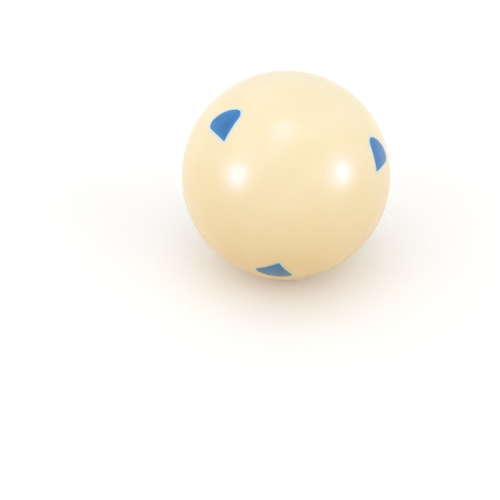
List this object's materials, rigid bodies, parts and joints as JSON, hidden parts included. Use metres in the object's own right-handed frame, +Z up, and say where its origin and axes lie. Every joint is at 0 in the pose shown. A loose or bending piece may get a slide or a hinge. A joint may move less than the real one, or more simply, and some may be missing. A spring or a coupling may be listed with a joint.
{
  "type": "cue ball",
  "caption": "Solid cream ball of cast resin for pool, with blue fan-shaped inlays flush in its skin at the ends of its own axes, so that its spin shows as it rolls.",
  "frame": {"origin": "centre of the ball", "axes": "+Z up as the ball lies on a table. The ball's own axes, which carry the inlays, are turned 45 degrees about its own Z and leaned 41 degrees about the row's X, so the top inlay faces up and towards -Y, and the right inlay faces up, +X and +Y."},
  "size_m": [0.0572, 0.0572, 0.0572],
  "materials": {
    "ball_resin": "cast resin, turned and polished to a high gloss",
    "inlay_resin": "blue cast resin, turned and polished flush with the ball"
  },
  "bodies": {
    "root": {"ball_body": "ball_resin", "top_inlay": "inlay_resin", "bottom_inlay": "inlay_resin", "right_inlay": "inlay_resin", "left_inlay": "inlay_resin", "back_inlay": "inlay_resin", "front_inlay": "inlay_resin"}
  },
  "joints": []
}
